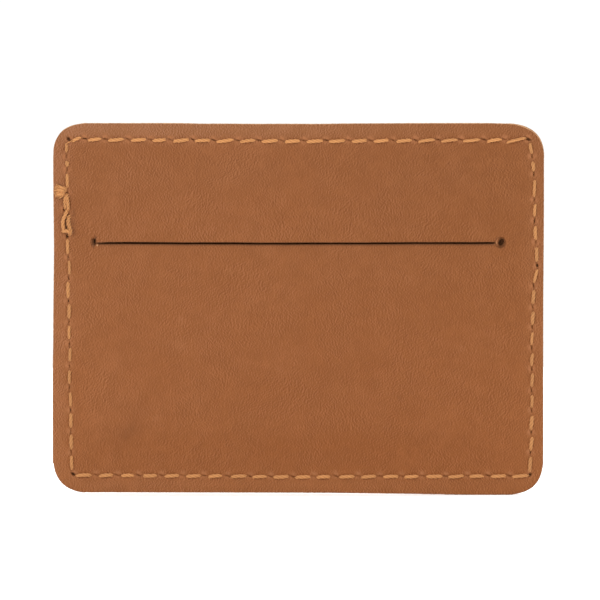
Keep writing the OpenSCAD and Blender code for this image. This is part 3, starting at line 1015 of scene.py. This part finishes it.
# ---------------------------------------------------------------- materials
class Nodes:
    def __init__(self, name):
        self.m = bpy.data.materials.new(name)
        self.m.use_nodes = True
        self.t = self.m.node_tree
        self.t.nodes.clear()
        self.out = self.t.nodes.new("ShaderNodeOutputMaterial")
        self.bsdf = self.t.nodes.new("ShaderNodeBsdfPrincipled")
        self.t.links.new(self.bsdf.outputs[0], self.out.inputs[0])
        self.pos = self.t.nodes.new("ShaderNodeTexCoord").outputs["Object"]

    def put(self, kind, **kw):
        n = self.t.nodes.new(kind)
        for k, v in kw.items():
            setattr(n, k, v)
        return n

    def link(self, a, b):
        self.t.links.new(a, b)

    def val(self, sock, v):
        if isinstance(v, (int, float, tuple, list)):
            sock.default_value = v
        else:
            self.link(v, sock)

    def attr(self, name):
        return self.put("ShaderNodeAttribute", attribute_name=name).outputs["Fac"]

    def math(self, op, a, b=0.0, c=0.0, clamp=False):
        n = self.put("ShaderNodeMath", operation=op, use_clamp=clamp)
        self.val(n.inputs[0], a)
        self.val(n.inputs[1], b)
        self.val(n.inputs[2], c)
        return n.outputs[0]

    def ramp(self, x, a, b, lo=0.0, hi=1.0):
        n = self.put("ShaderNodeMapRange", clamp=True)
        for i, v in enumerate((x, a, b, lo, hi)):
            self.val(n.inputs[i], v)
        return n.outputs[0]

    def place(self, scale, rot=(0, 0, 0), loc=(0, 0, 0)):
        n = self.put("ShaderNodeMapping")
        self.link(self.pos, n.inputs["Vector"])
        n.inputs["Location"].default_value = loc
        n.inputs["Rotation"].default_value = rot
        n.inputs["Scale"].default_value = scale
        return n.outputs[0]

    def noise(self, vec, scale=1.0, detail=2.0, rough=0.5, dist=0.0):
        n = self.put("ShaderNodeTexNoise")
        self.link(vec, n.inputs["Vector"])
        n.inputs["Scale"].default_value = scale
        n.inputs["Detail"].default_value = detail
        n.inputs["Roughness"].default_value = rough
        n.inputs["Distortion"].default_value = dist
        return n.outputs["Fac"]

    def mix(self, f, a, b, mode="MIX"):
        n = self.put("ShaderNodeMix", data_type="RGBA", blend_type=mode, clamp_factor=True)
        self.val(n.inputs[0], f)
        self.val(n.inputs[6], a if not isinstance(a, tuple) else (*a, 1.0) if len(a) == 3 else a)
        self.val(n.inputs[7], b if not isinstance(b, tuple) else (*b, 1.0) if len(b) == 3 else b)
        return n.outputs[2]

    def bump(self, height, dist, strength=1.0, normal=None):
        n = self.put("ShaderNodeBump")
        n.inputs["Strength"].default_value = strength
        n.inputs["Distance"].default_value = dist
        self.link(height, n.inputs["Height"])
        if normal is not None:
            self.link(normal, n.inputs["Normal"])
        return n.outputs[0]


def tint(c, k):
    return tuple(x * y for x, y in zip(c, k))


def leather(name, seed, base):
    N = Nodes(name)
    K = 1000.0  # the object is in metres, the pattern in millimetres
    off = (seed * 3.7, seed * 1.3, seed * 5.1)
    flat = N.place((K, K, K), loc=off)
    big = N.noise(flat, 0.022, 2.0, 0.5)
    mid = N.noise(flat, 0.10, 3.0, 0.55)
    cloud = N.noise(flat, 0.50, 2.0, 0.5)

    # grain: close upright pebbles of one size, which is what a noise leaves
    # over its own average half a pebble to the left and right
    def grain(sx, sz, lean, gap, k):
        a = math.radians(lean)
        tap = []
        for side in (-1, 0, 1):
            m = N.put("ShaderNodeMapping", vector_type="TEXTURE")
            N.link(N.pos, m.inputs["Vector"])
            m.inputs["Location"].default_value = (side * gap * math.cos(a) / K + k, seed * 0.01, -side * gap * math.sin(a) / K + k)
            m.inputs["Rotation"].default_value = (0, a, 0)
            m.inputs["Scale"].default_value = (1 / (K * sx), 1 / (K * sx), 1 / (K * sz))
            tap.append(N.noise(m.outputs[0], 1.0, 0.0, 0.5))
        return N.math("SUBTRACT", tap[1], N.math("MULTIPLY", N.math("ADD", tap[0], tap[2]), 0.5))

    g1 = grain(4.1, 2.6, 15, 0.28, 0.0)
    g2 = grain(4.1, 2.6, -3, 0.28, 0.3)
    sway = N.ramp(N.noise(flat, 0.055, 1.0, 0.5), 0.42, 0.58)
    gm = N.put("ShaderNodeMix", data_type="FLOAT")
    N.link(sway, gm.inputs[0])
    N.link(g1, gm.inputs[2])
    N.link(g2, gm.inputs[3])
    pebble = gm.outputs[0]
    fine = N.noise(flat, 3.6, 1.0, 0.5)
    streak = N.math("ADD", N.math("ADD", N.math("MULTIPLY", pebble, 0.585), 0.5), N.math("MULTIPLY", N.math("SUBTRACT", fine, 0.5), 0.12))
    pore = N.put("ShaderNodeTexVoronoi", feature="F1")
    N.link(N.place((K, K, K * 0.62), rot=(0, math.radians(12), 0), loc=off), pore.inputs["Vector"])
    pore.inputs["Scale"].default_value = 2.6
    cell = pore.outputs["Distance"]
    # colour
    patch = N.noise(flat, 0.21, 2.0, 0.5)
    col = N.mix(N.ramp(big, 0.38, 0.62), tint(base, (1.05, 1.06, 1.10)), tint(base, (0.95, 0.94, 0.90)))
    col = N.mix(N.math("MULTIPLY", N.ramp(mid, 0.40, 0.60), 0.75), col, tint(base, (1.08, 1.11, 1.24)))
    col = N.mix(N.math("MULTIPLY", N.ramp(patch, 0.40, 0.60), 0.75), col, tint(base, (0.93, 0.92, 0.86)))
    col = N.mix(N.math("MULTIPLY", N.ramp(cloud, 0.38, 0.64), 0.38), col, tint(base, (0.93, 0.90, 0.84)))
    lit = N.ramp(streak, 0.50, 0.70)
    dim = N.ramp(streak, 0.50, 0.30)
    grainy = N.ramp(mid, 0.25, 0.75, 0.80, 1.20)
    col = N.mix(N.math("MULTIPLY", lit, grainy), col, tint(base, (1.24, 1.38, 1.95)))
    col = N.mix(N.math("MULTIPLY", dim, grainy), col, tint(base, (0.75, 0.66, 0.44)))
    sep = N.put("ShaderNodeSeparateXYZ")
    N.link(N.pos, sep.inputs[0])
    # painted highlight: the upper left, towards the light, is painted paler
    lean = N.math("ADD", N.math("MULTIPLY", sep.outputs[0], -6.0), N.math("MULTIPLY", sep.outputs[2], 7.0))
    side = N.ramp(N.math("ADD", lean, N.math("MULTIPLY", N.math("SUBTRACT", mid, 0.5), 1.0)), -0.1, 0.95)
    gain = N.mix(side, (1.0, 1.0, 1.0), (1.035, 1.10, 1.32))
    col = N.mix(1.0, col, gain, "MULTIPLY")
    # painted light: lighter towards the bottom and darker towards the top, to even out how the light falls on the face
    low = N.ramp(sep.outputs[2], 0.0, 0.078)
    col = N.mix(1.0, col, N.mix(low, (1.085, 1.085, 1.095), (0.965, 0.965, 0.975)), "MULTIPLY")
    # and it is darkest high on the right
    far = N.math("MULTIPLY", N.ramp(sep.outputs[0], -0.02, 0.040), N.ramp(sep.outputs[2], 0.000, 0.060))
    col = N.mix(1.0, col, N.mix(far, (1.0, 1.0, 1.0), (0.935, 0.935, 0.90)), "MULTIPLY")
    mottle = N.noise(flat, 0.62, 2.0, 0.6)
    col = N.mix(1.0, col, N.mix(N.ramp(mottle, 0.38, 0.62), (1.025, 1.032, 1.045), (0.972, 0.964, 0.95)), "MULTIPLY")
    # the top margin above the seam is painted palest, a painted sheen
    crown = N.math("MULTIPLY", N.ramp(sep.outputs[2], 0.0735, 0.0765), N.ramp(sep.outputs[0], 0.030, -0.020))
    col = N.mix(1.0, col, N.mix(crown, (1.0, 1.0, 1.0), (1.04, 1.11, 1.24)), "MULTIPLY")
    # painted sheen: the curved margins are painted paler, most towards the upper left
    margin = N.attr("margin")
    edge = N.math("MULTIPLY", N.math("MULTIPLY", margin, N.ramp(cloud, 0.2, 0.7, 0.75, 1.0)), N.ramp(lean, -0.4, 0.75, 0.45, 1.0))
    col = N.mix(1.0, col, N.mix(edge, (1.0, 1.0, 1.0), (1.10, 1.21, 1.50)), "MULTIPLY")
    # painted highlight: raised tongues, the ridge, the sliver and the nick are painted paler
    lip = N.attr("lip")
    col = N.mix(N.math("MULTIPLY", N.math("MULTIPLY", lip, N.ramp(streak, 0.38, 0.6, 0.6, 1.0)), 1.0, clamp=True), col,
                tint(base, (1.36, 1.60, 2.5)))
    stain = N.attr("stain")
    col = N.mix(N.math("MULTIPLY", N.math("MAXIMUM", stain, 0.0), N.ramp(streak, 0.35, 0.6, 0.10, 0.42)), col, tint(base, (0.42, 0.40, 0.42)))
    col = N.mix(N.math("MULTIPLY", N.math("MAXIMUM", N.math("MULTIPLY", stain, -1.0), 0.0), 0.45), col, tint(base, (1.45, 1.85, 3.2)))
    # raw cut edge: paler, in fine layers parallel to the face
    lay = N.noise(N.place((K * 0.7, K * 7.5, K * 0.7), loc=off), 1.0, 3.0, 0.65)
    fib = N.noise(N.place((K * 3.0, K * 3.0, K * 3.0), loc=off), 1.0, 2.0, 0.6)
    rawc = N.mix(N.ramp(lay, 0.36, 0.64), (0.215, 0.090, 0.034), (0.50, 0.280, 0.140))
    rawc = N.mix(N.math("MULTIPLY", N.ramp(fib, 0.45, 0.7), 0.45), rawc, (0.60, 0.38, 0.21))
    raw = N.attr("raw")
    rawm = N.ramp(N.math("ADD", raw, N.math("MULTIPLY", N.math("SUBTRACT", fib, 0.5), 0.5)), 0.35, 0.75)
    col = N.mix(rawm, col, rawc)
    # the flesh side is a dark brown, darker than the leather, which deepens the shade seen through the cut: partly
    # painted shade
    flesh = N.attr("flesh")
    fle = N.mix(N.ramp(fib, 0.3, 0.7), (0.085, 0.030, 0.010), (0.13, 0.050, 0.018))
    col = N.mix(flesh, col, fle)
    # painted shade: the mask for holes, creases and the cut pulls the colour towards a near-black brown
    pit = N.attr("pit")
    col = N.mix(N.math("MULTIPLY", N.math("MINIMUM", pit, 1.0), 0.86), col, (0.046, 0.0180, 0.0065))
    N.link(col, N.bsdf.inputs["Base Color"])
    # gloss
    rg = N.ramp(streak, 0.35, 0.65, 0.52, 0.68)
    rg = N.math("ADD", rg, N.math("MULTIPLY", N.math("MAXIMUM", raw, flesh), 0.28), clamp=True)
    N.link(rg, N.bsdf.inputs["Roughness"])
    N.bsdf.inputs["Specular IOR Level"].default_value = 0.16
    # surface
    h = N.math("ADD", N.math("ADD", N.math("MULTIPLY", cell, 0.10), N.math("MULTIPLY", pebble, 0.75)), N.math("MULTIPLY", cloud, 0.35))
    hr = N.math("ADD", N.math("MULTIPLY", lay, 1.6), N.math("MULTIPLY", fib, 1.0))
    hm = N.put("ShaderNodeMix", data_type="FLOAT")
    N.link(N.math("MAXIMUM", raw, flesh), hm.inputs[0])
    N.link(h, hm.inputs[2])
    N.link(hr, hm.inputs[3])
    N.link(N.bump(hm.outputs[0], 0.00010, 0.9), N.bsdf.inputs["Normal"])
    return N.m


def thread_material():
    N = Nodes("thread")
    K = 1000.0
    ply, tone_and_light = N.attr("ply"), N.attr("tone_and_light")
    f1 = N.noise(N.place((K * 2.0, K * 2.0, K * 2.0)), 1.0, 3.0, 0.6)
    f2 = N.noise(N.place((K * 7.0, K * 7.0, K * 7.0)), 1.0, 2.0, 0.6)
    # painted light: the crests of the plies are coloured lighter and the creases between them darker
    col = N.mix(N.ramp(ply, 0.05, 0.60), (0.290, 0.114, 0.032), (0.420, 0.180, 0.057))
    col = N.mix(N.math("MULTIPLY", N.ramp(f2, 0.45, 0.7), 0.5), col, (0.50, 0.238, 0.083))
    col = N.mix(N.math("MULTIPLY", N.ramp(f1, 0.4, 0.7), 0.3), col, (0.375, 0.155, 0.047))
    # painted light: each strand's tone scales its colour; on the seam it stands for how the light falls
    shade = N.ramp(tone_and_light, -1.0, 1.0, 0.80, 1.10)
    cc = N.put("ShaderNodeCombineColor")
    for k in range(3):
        N.link(shade, cc.inputs[k])
    col = N.mix(1.0, col, cc.outputs[0], "MULTIPLY")
    N.link(col, N.bsdf.inputs["Base Color"])
    N.link(N.ramp(f2, 0.3, 0.7, 0.55, 0.75), N.bsdf.inputs["Roughness"])
    N.bsdf.inputs["Specular IOR Level"].default_value = 0.25
    N.bsdf.inputs["Sheen Weight"].default_value = 0.08
    N.bsdf.inputs["Sheen Roughness"].default_value = 0.5
    h = N.math("ADD", N.math("MULTIPLY", f2, 1.0), N.math("MULTIPLY", ply, 0.5))
    N.link(N.bump(h, 0.00005, 0.8), N.bsdf.inputs["Normal"])
    return N.m


# -------------------------------------------------------------------- build
front = panel("front_leather_panel", "front_panel", -1)
back = panel("back_leather_panel", "back_panel", 1)
needle = seam_thread("needle_thread_stitches", "needle_thread", -1)
bobbin = seam_thread("bobbin_thread_stitches", "bobbin_thread", 1)
tack = backtack()
end = tail()

m_front = leather("front_leather", 1.0, (0.1900, 0.0598, 0.0136))
m_back = leather("back_leather", 2.0, (0.1880, 0.0594, 0.0139))
m_thread = thread_material()
front.data.materials.append(m_front)
back.data.materials.append(m_back)
for o in (needle, bobbin, tack, end):
    o.data.materials.append(m_thread)

# -------------------------------------------------------------------- stage
sc = bpy.context.scene
bpy.ops.mesh.primitive_circle_add(vertices=96, radius=3.0, fill_type="NGON", location=(0, 0, 0))
floor = bpy.context.object
floor.name = "floor"
fm = bpy.data.materials.new("floor")
fm.use_nodes = True
fb = fm.node_tree.nodes["Principled BSDF"]
fb.inputs["Base Color"].default_value = (0.97, 0.97, 0.97, 1)
fb.inputs["Roughness"].default_value = 1.0
fb.inputs["Specular IOR Level"].default_value = 0.0
fb.inputs["Emission Color"].default_value = (1, 1, 1, 1)
fb.inputs["Emission Strength"].default_value = 0.14
floor.data.materials.append(fm)

world = bpy.data.worlds.new("studio")
world.use_nodes = True
sc.world = world
wt = world.node_tree
bg = wt.nodes["Background"]
tc = wt.nodes.new("ShaderNodeTexCoord")
sp = wt.nodes.new("ShaderNodeSeparateXYZ")
wt.links.new(tc.outputs["Generated"], sp.inputs[0])
mr = wt.nodes.new("ShaderNodeMapRange")
mr.inputs["From Min"].default_value = 0.15
mr.inputs["From Max"].default_value = 0.55
mr.inputs["To Min"].default_value = 1.05
mr.inputs["To Max"].default_value = 0.75
wt.links.new(sp.outputs[2], mr.inputs["Value"])
wt.links.new(mr.outputs[0], bg.inputs["Strength"])
bg.inputs["Color"].default_value = (1, 1, 1, 1)


def soft(name, azimuth, elevation, strength, spread):
    """A distant softbox: azimuth from the front, to the right positive."""
    d = bpy.data.lights.new(name, "SUN")
    d.energy = strength
    d.angle = math.radians(spread)
    o = bpy.data.objects.new(name, d)
    sc.collection.objects.link(o)
    a, e = math.radians(azimuth), math.radians(elevation)
    to = Vector((math.sin(a) * math.cos(e), -math.cos(a) * math.cos(e), math.sin(e)))
    o.location = to
    o.rotation_euler = to.to_track_quat("Z", "Y").to_euler()
    return o


soft("key", -16, 38, 1.96, 76)
soft("back_key", 165, 50, 2.2, 50)

cam = bpy.data.cameras.new("camera")
cam_ob = bpy.data.objects.new("camera", cam)
sc.collection.objects.link(cam_ob)
sc.camera = cam_ob
DIST = 1.6
cam.sensor_width = 36
cam.lens = 36 * DIST / 0.12707
cam_ob.location = (0.0003, front_lo.y - DIST, 0.0413)
cam_ob.rotation_euler = (math.radians(90), 0, 0)
cam.clip_end = 20
cam.dof.use_dof = False
sc.view_settings.view_transform = "Standard"
sc.view_settings.look = "None"
